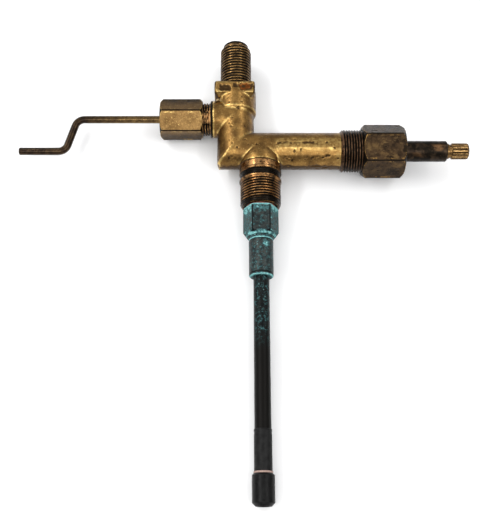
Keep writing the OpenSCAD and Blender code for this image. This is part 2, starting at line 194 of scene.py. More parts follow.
def profile(corners, step=0.2, soften=1):
    """Points (along, radius) every step along straight lines between corners, edges rounded."""
    line = []
    for (s0, r0), (s1, r1) in zip(corners, corners[1:]):
        count = max(1, round(math.hypot(s1 - s0, r1 - r0) / step))
        line += [(s0 + (s1 - s0) * k / count, r0 + (r1 - r0) * k / count) for k in range(count)]
    line = np.array(line + [corners[-1]])
    for _ in range(soften):
        line[1:-1] = (line[:-2] + 2 * line[1:-1] + line[2:]) / 4
    return line[:, 0], line[:, 1]


def angles(count):
    return np.linspace(0, TURN, count, endpoint=False)


def surface(axis, along, radii):
    """Points of a skin round an axis: one ring for each place along it."""
    around = angles(radii.shape[1])
    spoke = np.cos(around)[:, None] * axis.side + np.sin(around)[:, None] * axis.other
    return axis.origin + along[:, None, None] * axis.along + radii[..., None] * spoke


def skin(name, axis, along, radii, attributes=None, looped=False):
    """Closed mesh from rings round an axis; a looped profile has a bore and no end caps."""
    rows, count = radii.shape
    points = surface(axis, along, radii)
    # Painted shade: a value on every vertex that rises on the side turned away from the camera.
    lean = VIEW_LEAN * (axis.along[1] == 0) * axis.other[1]
    away = smoothstep(0.86, 0.20, np.cos(angles(count) - lean))
    attributes = {"side_shade": np.repeat(away[None, :], rows, axis=0), **(attributes or {})}
    last = rows if looped else rows - 1
    faces = []
    for i in range(last):
        low, high = i * count, (i + 1) % rows * count
        for j in range(count):
            k = (j + 1) % count
            faces.append((low + j, low + k, high + k, high + j))
    return make_object(name, points, faces, attributes)


def spread(radius, count):
    """The same profile at every angle."""
    return np.repeat(radius[:, None], count, axis=1)


def soft_min(a, b, sharp=9.0):
    """The smaller of two sizes, with a rounded edge where they meet."""
    return -np.log(np.exp(-sharp * a) + np.exp(-sharp * b)) / sharp


def hexagon(flats, count, turn_deg):
    """Radius of a hexagon at each angle, with a flat facing turn_deg."""
    local = (angles(count) - math.radians(turn_deg) + math.pi / 6) % (math.pi / 3) - math.pi / 6
    return flats / 2 / np.cos(local)


def thread_groove(along, count, start, end, pitch, crest=0.25):
    """Depth of a V-shaped helical groove, 0 to 1, at each place along and round an axis."""
    fade = 0.6
    phase = ((along[:, None] - start) / pitch - angles(count)[None, :] / TURN) % 1.0
    groove = np.clip(1 - np.abs(phase - 0.5) / (0.5 - crest / 2), 0, 1)
    inside = smoothstep(start, start + fade * pitch, along) * smoothstep(end, end - fade * pitch, along)
    return groove * inside[:, None]


# ---------------------------------------------------------------- materials

class Graph:
    """A short way to write shader nodes."""

    def __init__(self, name):
        self.material = bpy.data.materials.new(name)
        self.material.use_nodes = True
        self.tree = self.material.node_tree
        self.shader = self.tree.nodes["Principled BSDF"]
        self.place = self.tree.nodes.new("ShaderNodeTexCoord").outputs["Object"]

    def link(self, source, target):
        if isinstance(source, (int, float)):
            target.default_value = source
        elif isinstance(source, tuple):
            target.default_value = (*source, 1.0)
        else:
            self.tree.links.new(source, target)

    def node(self, kind, **inputs):
        """A new node with its inputs set or linked; an underscore in a name stands for a space."""
        made = self.tree.nodes.new("ShaderNode" + kind)
        for name, value in inputs.items():
            self.link(value, made.inputs[name.replace("_", " ")])
        return made

    def noise(self, size_mm, detail=3.0, roughness=0.55, stretch=None):
        place = self.place
        if stretch is not None:
            mapping = self.node("Mapping", Vector=self.place)
            mapping.inputs["Scale"].default_value = stretch
            place = mapping.outputs["Vector"]
        scale = 1 / (size_mm * MM)
        made = self.node("TexNoise", Vector=place, Scale=scale, Detail=detail, Roughness=roughness)
        return made.outputs["Fac"]

    def axis(self, letter):
        """One coordinate of the row frame, in millimetres."""
        split = self.node("SeparateXYZ", Vector=self.place)
        return self.times(split.outputs[letter], 1 / MM)

    def painted(self, name):
        """A value that the mesh carries at each vertex."""
        made = self.node("Attribute")
        made.attribute_name = name
        return made.outputs["Fac"]

    def math(self, operation, a, b=0.0):
        made = self.node("Math")
        made.operation = operation
        self.link(a, made.inputs[0])
        self.link(b, made.inputs[1])
        return made.outputs[0]

    def times(self, a, b):
        return self.math("MULTIPLY", a, b)

    def band(self, value, low, high):
        """0 below low, 1 above high, smooth between."""
        made = self.node("MapRange", Value=value, From_Min=low, From_Max=high)
        made.interpolation_type = "SMOOTHSTEP"
        return made.outputs["Result"]

    def mix(self, share, first, second):
        """Two colours mixed: the colour sockets of the node are 6 and 7, and the result is 2."""
        made = self.node("Mix")
        made.data_type = "RGBA"
        self.link(share, made.inputs[0])
        self.link(first, made.inputs[6])
        self.link(second, made.inputs[7])
        return made.outputs[2]

    def blend(self, share, first, second):
        """Two numbers mixed."""
        made = self.node("Mix")
        self.link(share, made.inputs[0])
        self.link(first, made.inputs[2])
        self.link(second, made.inputs[3])
        return made.outputs[0]

    def bump(self, height, depth_mm, strength=1.0, under=None):
        made = self.node("Bump", Strength=strength, Distance=depth_mm * MM, Height=height)
        if under is not None:
            self.link(under, made.inputs["Normal"])
        return made.outputs["Normal"]

    def finish(self, color, roughness, metallic=1.0, normal=None):
        self.link(color, self.shader.inputs["Base Color"])
        self.link(roughness, self.shader.inputs["Roughness"])
        self.link(metallic, self.shader.inputs["Metallic"])
        if normal is not None:
            self.link(normal, self.shader.inputs["Normal"])
        return self.material


GOLD = (0.310, 0.175, 0.052)
GOLD_PALE = (0.60, 0.41, 0.14)
GOLD_DEEP = (0.150, 0.080, 0.025)
BROWN = (0.060, 0.034, 0.014)
SOOT = (0.010, 0.008, 0.006)
COPPER_STAIN = (0.190, 0.056, 0.012)
SLATE = (0.026, 0.036, 0.038)
SLATE_LIGHT = (0.060, 0.068, 0.064)
SLATE_BROWN = (0.090, 0.075, 0.048)


def brass(name, light, deep, stain, stain_share=0.5, base_rough=0.34, stain_size=5.0, side_shade=BROWN):
    """Handled brass: mottled colour, stains, dark hollows, worn edges with painted highlights, painted side
    shade.
    """
    g = Graph(name)
    color = g.mix(g.band(g.noise(6.0, 5.0), 0.35, 0.65), deep, light)
    color = g.mix(g.band(g.noise(0.7, 4.0, 0.7), 0.50, 0.68), color, deep)
    color = g.mix(g.times(g.band(g.noise(0.9, 4.0, 0.7), 0.56, 0.70), 0.55), color, GOLD_PALE)
    stains = g.band(g.noise(stain_size, 6.0, 0.68), 0.70 - 0.35 * stain_share, 0.86 - 0.35 * stain_share)
    color = g.mix(g.times(stains, 0.7), color, stain)
    # Painted shade on the side turned away from the camera, broken up by noise.
    old = g.times(g.painted("side_shade"), g.band(g.noise(3.5, 4.0), 0.10, 0.50))
    color = g.mix(g.times(old, 0.85), color, side_shade)
    # Worn edges and painted highlights, brightened to pale gold.
    wear_and_highlight = g.times(g.painted("wear_and_highlight"), g.band(g.noise(1.6, 4.0), 0.30, 0.62))
    color = g.mix(wear_and_highlight, color, GOLD_PALE)
    color = g.mix(g.band(g.painted("hollow"), 0.15, 0.8), color, stain)
    color = g.mix(g.painted("copper"), color, COPPER_STAIN)
    shine = g.blend(g.band(g.noise(1.3, 4.0), 0.3, 0.7), base_rough - 0.07, base_rough + 0.1)
    shine = g.blend(stains, shine, min(0.8, base_rough + 0.25))
    shine = g.blend(wear_and_highlight, shine, base_rough - 0.08)
    grain = g.bump(g.noise(0.55, 4.0, 0.65), 0.05, 0.9)
    grain = g.bump(g.noise(3.2, 3.0), 0.10, 0.7, grain)
    return g.finish(color, shine, 1.0, grain)


def turned_metal(name, light, deep, soot, soot_share, base_rough=0.3, length_axis="Y", bright=GOLD_PALE):
    """Turned or threaded metal: fine rings, dirt in grooves, black patches, wear with painted highlights,
    painted side shade.
    """
    g = Graph(name)
    color = g.mix(g.band(g.noise(3.0, 5.0), 0.36, 0.64), deep, light)
    dirt = g.band(g.noise(4.2, 6.0, 0.7), 0.72 - 0.4 * soot_share, 0.84 - 0.4 * soot_share)
    # Painted shade on the side turned away from the camera, broken up by noise.
    old = g.times(g.painted("side_shade"), g.band(g.noise(3.0, 4.0), 0.2, 0.6))
    color = g.mix(dirt, color, soot)
    # Worn crests and painted highlights, brightened to the bright colour.
    wear_and_highlight = g.times(g.painted("wear_and_highlight"), g.band(g.noise(2.2, 3.0), 0.34, 0.6))
    color = g.mix(wear_and_highlight, color, bright)
    color = g.mix(g.times(old, 0.7), color, soot)
    color = g.mix(g.band(g.painted("hollow"), 0.10, 0.62), color, soot)
    stretch = (0.15, 6.0, 0.15) if length_axis == "Y" else (6.0, 0.15, 0.15)
    rings = g.noise(1.2, 3.0, 0.6, stretch)
    shine = g.blend(g.band(g.noise(1.1, 4.0), 0.3, 0.7), base_rough - 0.06, base_rough + 0.12)
    shine = g.blend(dirt, shine, 0.5)
    normal = g.bump(rings, 0.02, 0.7, g.bump(g.noise(0.5, 4.0), 0.03, 0.7))
    return g.finish(color, shine, 1.0, normal)


def verdigris(name, film_share, crust_share, metal_level, fade_y=None):
    """Slate-dark metal with a dull teal film and, on rims and in patches, a bright crust."""
    g = Graph(name)
    shades = (SLATE, SLATE_LIGHT, SLATE_BROWN)
    dark, light, brown = (tuple(metal_level * part for part in shade) for shade in shades)
    metal = g.mix(g.band(g.noise(2.2, 5.0), 0.4, 0.62), dark, light)
    metal = g.mix(g.band(g.noise(0.8, 5.0, 0.7), 0.60, 0.70), metal, brown)
    left = 1.0
    if fade_y is not None:
        start, end = fade_y
        left = g.band(g.axis("Y"), end, start)
        metal = g.mix(left, (0.004, 0.0035, 0.003), metal)
    rim = g.painted("crust")
    film = g.math("ADD", g.noise(1.5, 8.0, 0.78), g.times(rim, 0.14))
    film = g.band(film, 0.64 - 0.22 * film_share, 0.76 - 0.22 * film_share)
    film = g.times(film, left)
    color = g.mix(g.times(film, 0.85), metal, (0.050, 0.135, 0.140))
    crust = g.math("ADD", g.noise(2.1, 8.0, 0.7), g.times(rim, 0.26))
    crust = g.band(crust, 0.80 - 0.22 * crust_share, 0.88 - 0.22 * crust_share)
    crust = g.times(crust, left)
    shade = g.mix(g.band(g.noise(0.9, 5.0, 0.7), 0.35, 0.7), (0.075, 0.25, 0.27), (0.27, 0.56, 0.53))
    color = g.mix(crust, color, shade)
    flecks = g.times(g.band(g.noise(0.75, 3.0, 0.6), 0.68, 0.76), left)
    color = g.mix(g.times(flecks, 0.6), color, (0.30, 0.42, 0.38))
    color = g.mix(g.band(g.painted("hollow"), 0.3, 0.9), color, (0.004, 0.006, 0.006))
    shine = g.blend(film, 0.42, 0.62)
    shine = g.blend(crust, shine, 0.85)
    metallic = g.times(g.math("SUBTRACT", 1.0, crust), 0.55)
    normal = g.bump(crust, 0.06, 0.8, g.bump(g.noise(0.5, 5.0, 0.7), 0.06, 0.8))
    g.shader.inputs["Specular IOR Level"].default_value = 0.15
    return g.finish(color, shine, metallic, normal)


def oxidised(name):
    """Dark brown oxide with worn gold showing on edges and in scratches, but not in its painted side shade.
    """
    g = Graph(name)
    clouds = g.band(g.noise(4.5, 6.0, 0.65), 0.38, 0.62)
    color = g.mix(clouds, (0.018, 0.012, 0.008), (0.052, 0.032, 0.017))
    worn = g.band(g.noise(6.5, 7.0, 0.7), 0.50, 0.66)
    # Worn gold patches stay out of the painted shade on the side turned away.
    worn = g.times(worn, g.math("SUBTRACT", 1.0, g.painted("side_shade")))
    color = g.mix(g.times(worn, 0.75), color, (0.125, 0.076, 0.031))
    color = g.mix(g.band(g.noise(0.8, 5.0, 0.75), 0.58, 0.70), color, (0.13, 0.088, 0.042))
    scratch = g.band(g.noise(2.4, 5.0, 0.6, (0.4, 3.2, 3.2)), 0.62, 0.70)
    color = g.mix(g.times(scratch, 0.55), color, (0.22, 0.145, 0.062))
    wear_and_highlight = g.times(g.painted("wear_and_highlight"), g.band(g.noise(1.1, 4.0), 0.42, 0.60))
    color = g.mix(wear_and_highlight, color, GOLD)
    color = g.mix(g.band(g.painted("hollow"), 0.2, 0.9), color, SOOT)
    shine = g.blend(g.band(g.noise(1.0, 5.0), 0.3, 0.7), 0.36, 0.54)
    shine = g.blend(wear_and_highlight, shine, 0.27)
    normal = g.bump(g.noise(0.5, 5.0, 0.7), 0.05, 0.8, g.bump(g.noise(3.0, 3.0), 0.10, 0.7))
    return g.finish(color, shine, 1.0, normal)


def rod_bronze(name):
    """Bronze rod: dark along most of it, rubbed to gold near the gland."""
    g = Graph(name)
    place = g.math("ADD", g.axis("X"), g.times(g.noise(6.0, 4.0), 14.0))
    gold = g.band(place, -78.0, -48.0)
    dark = g.mix(g.band(g.noise(3.0, 5.0, 0.7), 0.4, 0.65), (0.020, 0.013, 0.009), (0.060, 0.038, 0.020))
    light = g.mix(g.band(g.noise(2.2, 4.0), 0.36, 0.64), (0.085, 0.052, 0.022), (0.17, 0.105, 0.040))
    color = g.mix(gold, dark, light)
    color = g.mix(g.band(g.noise(0.6, 4.0, 0.7), 0.60, 0.70), color, (0.035, 0.022, 0.012))
    shine = g.blend(g.band(g.noise(0.9, 4.0), 0.3, 0.7), 0.16, 0.30)
    return g.finish(color, shine, 0.95, g.bump(g.noise(0.4, 4.0, 0.6, (0.3, 2, 2)), 0.03, 0.8))


def black_part(name, color_low, color_high, shine_low, shine_high):
    """Black rubber or plastic: slightly uneven colour and gloss over a fine grain."""
    g = Graph(name)
    color = g.mix(g.band(g.noise(2.6, 5.0), 0.36, 0.66), color_low, color_high)
    shine = g.blend(g.band(g.noise(1.4, 5.0), 0.3, 0.7), shine_low, shine_high)
    g.shader.inputs["Specular IOR Level"].default_value = 0.12
    return g.finish(color, shine, 0.0, g.bump(g.noise(0.5, 4.0, 0.7), 0.04, 0.7))


def fibre(name, light, deep):
    """Pressed fibre or plaited packing: a fine directionless weave of two shades."""
    g = Graph(name)
    strands = g.noise(0.35, 4.0, 0.7, (1.0, 3.0, 1.0))
    color = g.mix(g.band(strands, 0.38, 0.62), deep, light)
    return g.finish(color, 0.78, 0.0, g.bump(strands, 0.06, 0.9))


MATERIALS = {
    "cast_brass": brass("cast_brass", GOLD, GOLD_DEEP, BROWN, 0.42, 0.36),
    "turned_brass": turned_metal("turned_brass", GOLD_PALE, GOLD, BROWN, 0.2, 0.24),
    "gland_brass": brass("gland_brass", (0.205, 0.120, 0.044), (0.125, 0.070, 0.025), (0.016, 0.010, 0.006),
                         0.2, 0.38, 4.0, (0.022, 0.015, 0.010)),
    "dark_brass": oxidised("dark_brass"),
    "rod_bronze": rod_bronze("rod_bronze"),
    "stem_bronze": turned_metal("stem_bronze", (0.045, 0.030, 0.019), (0.020, 0.014, 0.010), SOOT, 0.65,
                                0.34, "X", (0.16, 0.085, 0.040)),
    "patina_brass": verdigris("patina_brass", 0.62, 0.45, 0.6),
    "tube_patina": verdigris("tube_patina", 0.62, 0.16, 0.12, (STEM_Y - 94.0, STEM_Y - 110.0)),
    "sleeve_black": black_part("sleeve_black", (0.004, 0.004, 0.004), (0.010, 0.010, 0.010), 0.36, 0.58),
    "tip_black": black_part("tip_black", (0.002, 0.002, 0.002), (0.005, 0.005, 0.005), 0.26, 0.46),
    "washer_rubber": black_part("washer_rubber", (0.020, 0.018, 0.017), (0.045, 0.042, 0.040), 0.5, 0.7),
    "packing_graphite": fibre("packing_graphite", (0.11, 0.10, 0.095), (0.03, 0.028, 0.026)),
    "gasket_fibre": fibre("gasket_fibre", (0.33, 0.11, 0.06), (0.17, 0.05, 0.03)),
    "tip_washer_fibre": fibre("tip_washer_fibre", (0.42, 0.30, 0.26), (0.22, 0.14, 0.11)),
}
INLET_BRASS = turned_metal("inlet_brass", (0.115, 0.064, 0.024), (0.052, 0.029, 0.013), SOOT, 0.60,
                           0.16, "Y", (0.36, 0.21, 0.076))
# Its bright colour serves the worn crests and the painted glint on the side towards the camera.
GLAND_THREAD = turned_metal("gland_thread_brass", (0.085, 0.042, 0.019), (0.028, 0.016, 0.010), SOOT, 0.8,
                            0.20, "X", (0.46, 0.26, 0.105))
BLACK_THREAD = turned_metal("bonnet_thread_brass", (0.036, 0.025, 0.017), (0.014, 0.011, 0.008), SOOT, 0.7,
                            0.30, "X", (0.13, 0.072, 0.038))
SHANK_BRASS = turned_metal("shank_brass", (0.27, 0.128, 0.044), (0.12, 0.054, 0.020), SOOT, 0.66,
                           0.18, "Y", (0.38, 0.205, 0.080))
SPLINE_BRASS = turned_metal("spline_brass", (0.20, 0.115, 0.044), (0.12, 0.066, 0.025), BROWN, 0.35,
                            0.22, "X", (0.30, 0.185, 0.075))


def dress(piece, slot, body, *nodes, material=None):
    """Gives a piece its material, the slot's own unless another is given, and its body, and hides the CAD
    nodes that it stands for.
    """
    piece.data.materials.clear()
    piece.data.materials.append(material or MATERIALS[slot])
    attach(piece, body)
    if nodes:
        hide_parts(*nodes)
    return piece


# ---------------------------------------------------------------- the casting

def apply_modifiers(piece):
    """Bakes a piece's modifiers into its mesh."""
    graph = bpy.context.evaluated_depsgraph_get()
    baked = bpy.data.meshes.new_from_object(piece.evaluated_get(graph))
    piece.modifiers.clear()
    old = piece.data
    piece.data = baked
    bpy.data.meshes.remove(old)


def solid_turning(name, axis, corners):
    """Plain turned blank, for merging or cutting."""
    along, radius = profile(corners, 0.6, 0)
    return skin(name, axis, along, spread(radius, 96))


def rounded_bar(name, axis, start, end, radius, edge):
    """Round bar with small chamfers at both ends."""
    return solid_turning(name, axis, [
        (start, 0), (start, radius - edge), (start + edge, radius),
        (end - edge, radius), (end, radius - edge), (end, 0)])


def outlet_boss():
    """The shoulder over the outlet: flush with the arm at its top, full round at its foot."""
    return solid_turning("boss", OUTLET_AXIS, [
        (-2, 0), (-2, 9.3), (0.5, 9.85), (2.5, 10.35), (4.5, 10.85), (7, 11.3),
        (BAND_START - 0.2, SHOULDER_R), (BAND_START, SHOULDER_R - 0.3), (BAND_START, 0)])


def elbow_corner():
    """The elbow's mitred outer corner: two bars and a round-over that all cross there."""
    corner = rounded_bar("corner", STEM_AXIS, -14, 1, ARM_R, 0.1)
    cut_with(corner, rounded_bar("corner_leg", INLET_AXIS, STEM_Y - 14, STEM_Y + 1, ARM_R, 0.1), "INTERSECT")
    upright = Axis((0, STEM_Y, -15), (0, 0, 1), (1, 0, 0))
    return cut_with(corner, rounded_bar("corner_round", upright, 0, 30, ELBOW_R, 0.1), "INTERSECT")


def spanner_block():
    """Square block on the head, cast a little off the inlet axis, with rounded edges."""
    axis = Axis((BLOCK_SHIFT, 0, 0), (0, 1, 0), (0, 0, 1))
    count = 144
    turn = angles(count)
    front = BLOCK_HALF_Z / np.maximum(np.abs(np.cos(turn)), 1e-6)
    side = BLOCK_HALF_X / np.maximum(np.abs(np.sin(turn)), 1e-6)
    square = soft_min(np.minimum(front, 40), np.minimum(side, 40), 1.6)
    along, inset = profile([
        (BLOCK_START - 1.2, 20), (BLOCK_START - 1.2, 3.2), (BLOCK_START + 0.6, 0.2), (BLOCK_START + 1.4, 0),
        (-1.6, 0), (-0.7, 0.45), (0, 1.5), (0, 20)], 0.4, 0)
    radii = np.maximum(square[None, :] - inset[:, None], 0)
    return skin("block", axis, along, radii)


def cut_with(piece, tool, operation):
    """Boolean of a piece and a tool; the tool is used up."""
    modifier = piece.modifiers.new("cut", "BOOLEAN")
    modifier.operation = operation
    modifier.solver = "EXACT"
    modifier.object = tool
    apply_modifiers(piece)
    bpy.data.objects.remove(tool)
    return piece


def join(name, parts):
    """One object from the shells of several, which are used up."""
    points, faces = [], []
    for part in parts:
        base = len(points)
        points += [tuple(v.co / MM) for v in part.data.vertices]
        faces += [tuple(base + i for i in p.vertices) for p in part.data.polygons]
        bpy.data.objects.remove(part)
    return make_object(name, points, faces)


def coordinates(piece):
    flat = np.zeros(len(piece.data.vertices) * 3, np.float32)
    piece.data.vertices.foreach_get("co", flat)
    return flat.reshape(-1, 3).astype(float) / MM


def normals(piece):
    flat = np.zeros(len(piece.data.vertices) * 3, np.float32)
    piece.data.vertices.foreach_get("normal", flat)
    return flat.reshape(-1, 3).astype(float)


def set_coordinates(piece, points):
    piece.data.vertices.foreach_set("co", (points * MM).astype(np.float32).ravel())
    piece.data.update()


def paint(piece, name, values):
    layer = piece.data.attributes.new(name, "FLOAT", "POINT")
    layer.data.foreach_set("value", np.asarray(values, np.float32))


def bulge(piece):
    """How far each vertex stands out from its neighbours: above 0 on edges, below 0 in creases."""
    count = len(piece.data.vertices)
    ends = np.zeros(len(piece.data.edges) * 2, np.int32)
    piece.data.edges.foreach_get("vertices", ends)
    a, b = ends[0::2], ends[1::2]
    degree = np.bincount(ends, minlength=count)[:, None]

    def spread_out(values):
        total = np.zeros_like(values)
        np.add.at(total, a, values[b])
        np.add.at(total, b, values[a])
        return total / np.maximum(degree, 1)

    points = coordinates(piece)
    wide = points
    for _ in range(3):
        wide = spread_out(wide)
    value = ((points - wide) * normals(piece)).sum(axis=1, keepdims=True)
    return spread_out(value)[:, 0]


def arm_seams(points):
    """Two rough seams along the arm's front, with a slightly flattened strip between them."""
    tilt = math.radians(28)
    up = np.array((0, -math.sin(tilt), math.cos(tilt)))
    across = np.array((0, math.cos(tilt), math.sin(tilt)))
    local = points - STEM_AXIS.origin
    height, side = local @ up, local @ across
    wave = noise(points, 2.5, 31)
    inside = smoothstep(20.6, 22.0, points[:, 0]) * smoothstep(53.0, 51.0, points[:, 0]) * (height > 0)
    flat = np.clip(height - ARM_R + 0.22, 0, 1) * inside
    upper = smoothstep(1.05, 0.25, np.abs(side - 4.3 + 0.45 * wave))
    upper = upper * (0.26 + 0.20 * noise(points, 0.9, 33)) * smoothstep(-0.75, 0.1, noise(points, 4.0, 34))
    lower = smoothstep(1.0, 0.2, np.abs(side + 3.6 + 0.8 * wave))
    lower = lower * 0.40 * smoothstep(0.15, 0.55, noise(points, 0.95, 35))
    depth = np.maximum(upper, lower) * inside
    return points - (flat + depth)[:, None] * up, np.clip(depth / 0.3, 0, 1)


def elbow_stain(points):
    """Darker rough patch on the elbow, between its ridge and the outlet."""
    x, rise = points[:, 0] + 1.5, points[:, 1] - STEM_Y + 7.6
    patch = smoothstep(1.2, 0.6, np.hypot(x / 5.0, rise / 2.4) + 0.3 * noise(points, 1.6, 36))
    return 0.6 * patch * (points[:, 2] > 2) * (0.6 + 0.4 * noise(points, 0.9, 38))


POCKETS = [  # x, y from the stem axis, half width, half height of each cast pocket
    (-6.3, 33.5, 3.3, 2.1), (-0.3, 34.0, 1.5, 1.7), (5.9, 33.6, 3.7, 2.2),
]


def block_pockets(points):
    """Shallow uneven cast pockets in the front of the block."""
    x, rise, front = points[:, 0], points[:, 1] - STEM_Y, points[:, 2]
    ragged = 0.34 * noise(points, 2.3, 5) + 0.36 * noise(points, 1.0, 6)
    sunk = np.zeros(len(points))
    for left, up, half_w, half_h in POCKETS:
        away = (np.abs((x - left) / half_w) ** 3 + np.abs((rise - up) / half_h) ** 3) ** (1 / 3)
        sunk = np.maximum(sunk, smoothstep(1.08, 0.80, away + ragged))
    sunk = sunk * smoothstep(8.2, 9.4, front)
    depth = sunk * (0.60 + 0.25 * noise(points, 1.6, 8))
    return points - depth[:, None] * np.array((0, 0, 1)), sunk


def block_edge_darkening(points):
    """Darker colour along the two upright front edges of the block."""
    rise = points[:, 1] - BLOCK_START
    edge = smoothstep(BLOCK_HALF_X - 1.5, BLOCK_HALF_X - 0.7, np.abs(points[:, 0] - BLOCK_SHIFT))
    inside = smoothstep(-0.6, 0.4, rise) * smoothstep(8.4, 7.2, rise) * smoothstep(6.5, 8.0, points[:, 2])
    return edge * inside * (0.75 + 0.4 * noise(points, 1.2, 48))


def head_rim_highlights(points):
    """Painted highlights: two bright lines round the foot of the head, on its front."""
    rise = points[:, 1] - HEAD_START
    front = (points[:, 2] > 7) * smoothstep(6.2, 5.0, np.abs(points[:, 0]))
    lines = np.maximum(smoothstep(0.4, 0.1, np.abs(rise - 0.3)), smoothstep(0.4, 0.1, np.abs(rise - 1.7)))
    return lines * front


def arm_highlight_and_wear(points):
    """Painted highlight in a rough strip along the arm's front, between its two seams, and the arm's worn
    end.
    """
    side = points[:, 1] - STEM_Y
    highlight_strip = smoothstep(3.6, 2.0, side) * smoothstep(-5.2, -3.2, side) * (points[:, 2] > 5)
    highlight_strip = highlight_strip * smoothstep(19.0, 23.0, points[:, 0])
    end_wear = 0.8 * smoothstep(51.0, 54.5, points[:, 0]) * (points[:, 2] > 0)
    return np.maximum(highlight_strip, end_wear) * (0.45 + 0.5 * noise(points, 1.3, 44))


PITS = [  # x, y from the stem axis, radius, depth: the larger flaws on the casting's face
    (0.7, -2.6, 0.95, 0.50), (-1.6, -0.2, 0.70, 0.35), (5.7, 1.2, 0.75, 0.40), (6.7, -1.0, 0.70, 0.35),
    (-3.5, -7.4, 0.95, 0.45), (-1.9, -7.0, 0.60, 0.30), (10.8, -0.9, 0.70, 0.30), (12.3, -3.4, 0.60, 0.25),
    (21.6, -2.2, 0.70, 0.35), (39.7, -7.4, 1.10, 0.50), (29.3, -8.2, 0.80, 0.40), (45.1, -7.3, 0.70, 0.35),
    (33.5, -7.8, 0.60, 0.30), (51.5, -3.0, 0.90, 0.40), (48.6, -6.6, 0.90, 0.40), (53.4, -7.6, 0.70, 0.35),
    (-1.5, 15.1, 0.90, 0.28), (-2.3, 10.1, 0.80, 0.25), (-3.4, 12.0, 0.60, 0.25), (-4.2, 26.8, 0.70, 0.25),
    (3.2, 24.5, 0.80, 0.25), (-11.2, 22.6, 0.60, 0.30), (1.5, 5.2, 0.50, 0.25), (16.5, 3.6, 0.50, 0.25),
]


def pits(points, facing):
    """Depth of the blowholes: the listed ones on the front, and scattered ones all round."""
    depth = np.zeros(len(points))
    for x, y, size, deep in PITS:
        away = np.hypot(points[:, 0] - x, (points[:, 1] - STEM_Y - y) * 1.3)
        away = away + 0.4 * noise(points, 0.9, 11)
        depth = np.maximum(depth, deep * smoothstep(size, size * 0.25, away) * (facing > 0.2))
    scattered = smoothstep(0.52, 0.78, noise(points, 1.7, 17)) * smoothstep(0.0, 0.4, noise(points, 9.0, 19))
    return np.maximum(depth, 0.32 * scattered)


def casting_blank():
    """Bars and turnings merged into one softened skin."""
    head = solid_turning("head", INLET_AXIS, [
        (HEAD_START - 1.4, 0), (HEAD_START - 1.4, ARM_R - 0.6), (HEAD_START, HEAD_R - 1.1),
        (HEAD_START + 1.6, HEAD_R), (-2.2, HEAD_R), (-1.2, HEAD_R - 0.8), (-1.2, 0)])
    body = join("body_casting", [
        rounded_bar("arm", STEM_AXIS, 0, ARM_END, ARM_R, 0.5),
        rounded_bar("leg", INLET_AXIS, STEM_Y, HEAD_START + 2, ARM_R, 0.5),
        elbow_corner(),
        head,
        spanner_block(),
        rounded_bar("branch", CRANK_AXIS, 0, BRANCH_END - 0.9, BRANCH_R, 0.5),
        outlet_boss(),
    ])
    remesh = body.modifiers.new("remesh", "REMESH")
    remesh.mode = "VOXEL"
    remesh.voxel_size = 0.36 * MM
    smooth = body.modifiers.new("smooth", "SMOOTH")
    smooth.factor = 0.5
    smooth.iterations = 3
    apply_modifiers(body)
    return body


def sand_skin(points):
    """Slow swells and fine grain of a sand-cast surface."""
    swell = 0.07 * rough(points, 5.0, 23) + 0.035 * rough(points, 1.2, 29)
    return swell + 0.05 * np.minimum(noise(points, 2.4, 37), 0)


def shank_line(points):
    """Dark line where the casting ends and the turned shank starts."""
    below = OUTLET_AXIS.origin[1] - points[:, 1]
    return smoothstep(BAND_START - 0.7, BAND_START - 0.2, below + 0.25 * noise(points, 1.2, 39))


def rust_patch(points):
    """Coppery red in the right-hand pocket."""
    x = points[:, 0]
    patch = smoothstep(1.4, 2.2, x) * smoothstep(8.0, 6.0, x + noise(points, 1.5, 49))
    return patch * smoothstep(-0.6, 0.0, noise(points, 2.0, 42))


def casting():
    """The cast body without its threads: merged, marked, pitted, painted and bored."""
    body = casting_blank()
    points = coordinates(body)
    facing = normals(body)[:, 2]
    stand = bulge(body)
    points, seam = arm_seams(points)
    points, sunk = block_pockets(points)
    set_coordinates(body, points)
    outward = normals(body)
    hole = pits(points, facing)
    set_coordinates(body, points + (sand_skin(points) - hole)[:, None] * outward)
    crease = np.clip(-stand / 0.05, 0, 1)
    darkening = block_edge_darkening(points)
    hollow = 0.85 * np.clip(hole / 0.34, 0, 1) + 0.25 * crease + 0.75 * seam + shank_line(points)
    hollow = hollow + elbow_stain(points) + sunk * (0.85 + 0.30 * noise(points, 1.5, 40)) + darkening
    # Painted highlight: bright lines along the front creases beside the outlet boss.
    boss_side_highlight = smoothstep(3.0, 5.5, np.abs(points[:, 0] - OUTLET_X)) * (facing > 0.3)
    edges = np.clip((stand - 0.012) / 0.035, 0, 1) + 0.7 * crease * boss_side_highlight
    wear_and_highlight = np.clip(edges + head_rim_highlights(points) + arm_highlight_and_wear(points), 0, 1)
    paint(body, "hollow", np.clip(hollow, 0, 1))
    paint(body, "wear_and_highlight", wear_and_highlight * (1 - sunk) * (1 - np.clip(darkening, 0, 1)))
    paint(body, "copper", sunk * rust_patch(points))
    # Painted shade on the faces turned away from the camera.
    paint(body, "side_shade", smoothstep(0.72, 0.12, outward @ np.array((0, -0.42, 0.91))))
    bore = solid_turning("bore", INLET_AXIS, [
        (STEM_Y + 30, 0), (STEM_Y + 30, INLET_BORE), (6, INLET_BORE), (6, 0)])
    cut_with(body, bore, "DIFFERENCE")
    shade_smooth(body.data)
    return dress(body, "cast_brass", "valve", "valve_body")


# ---------------------------------------------------------------- turned and threaded ends

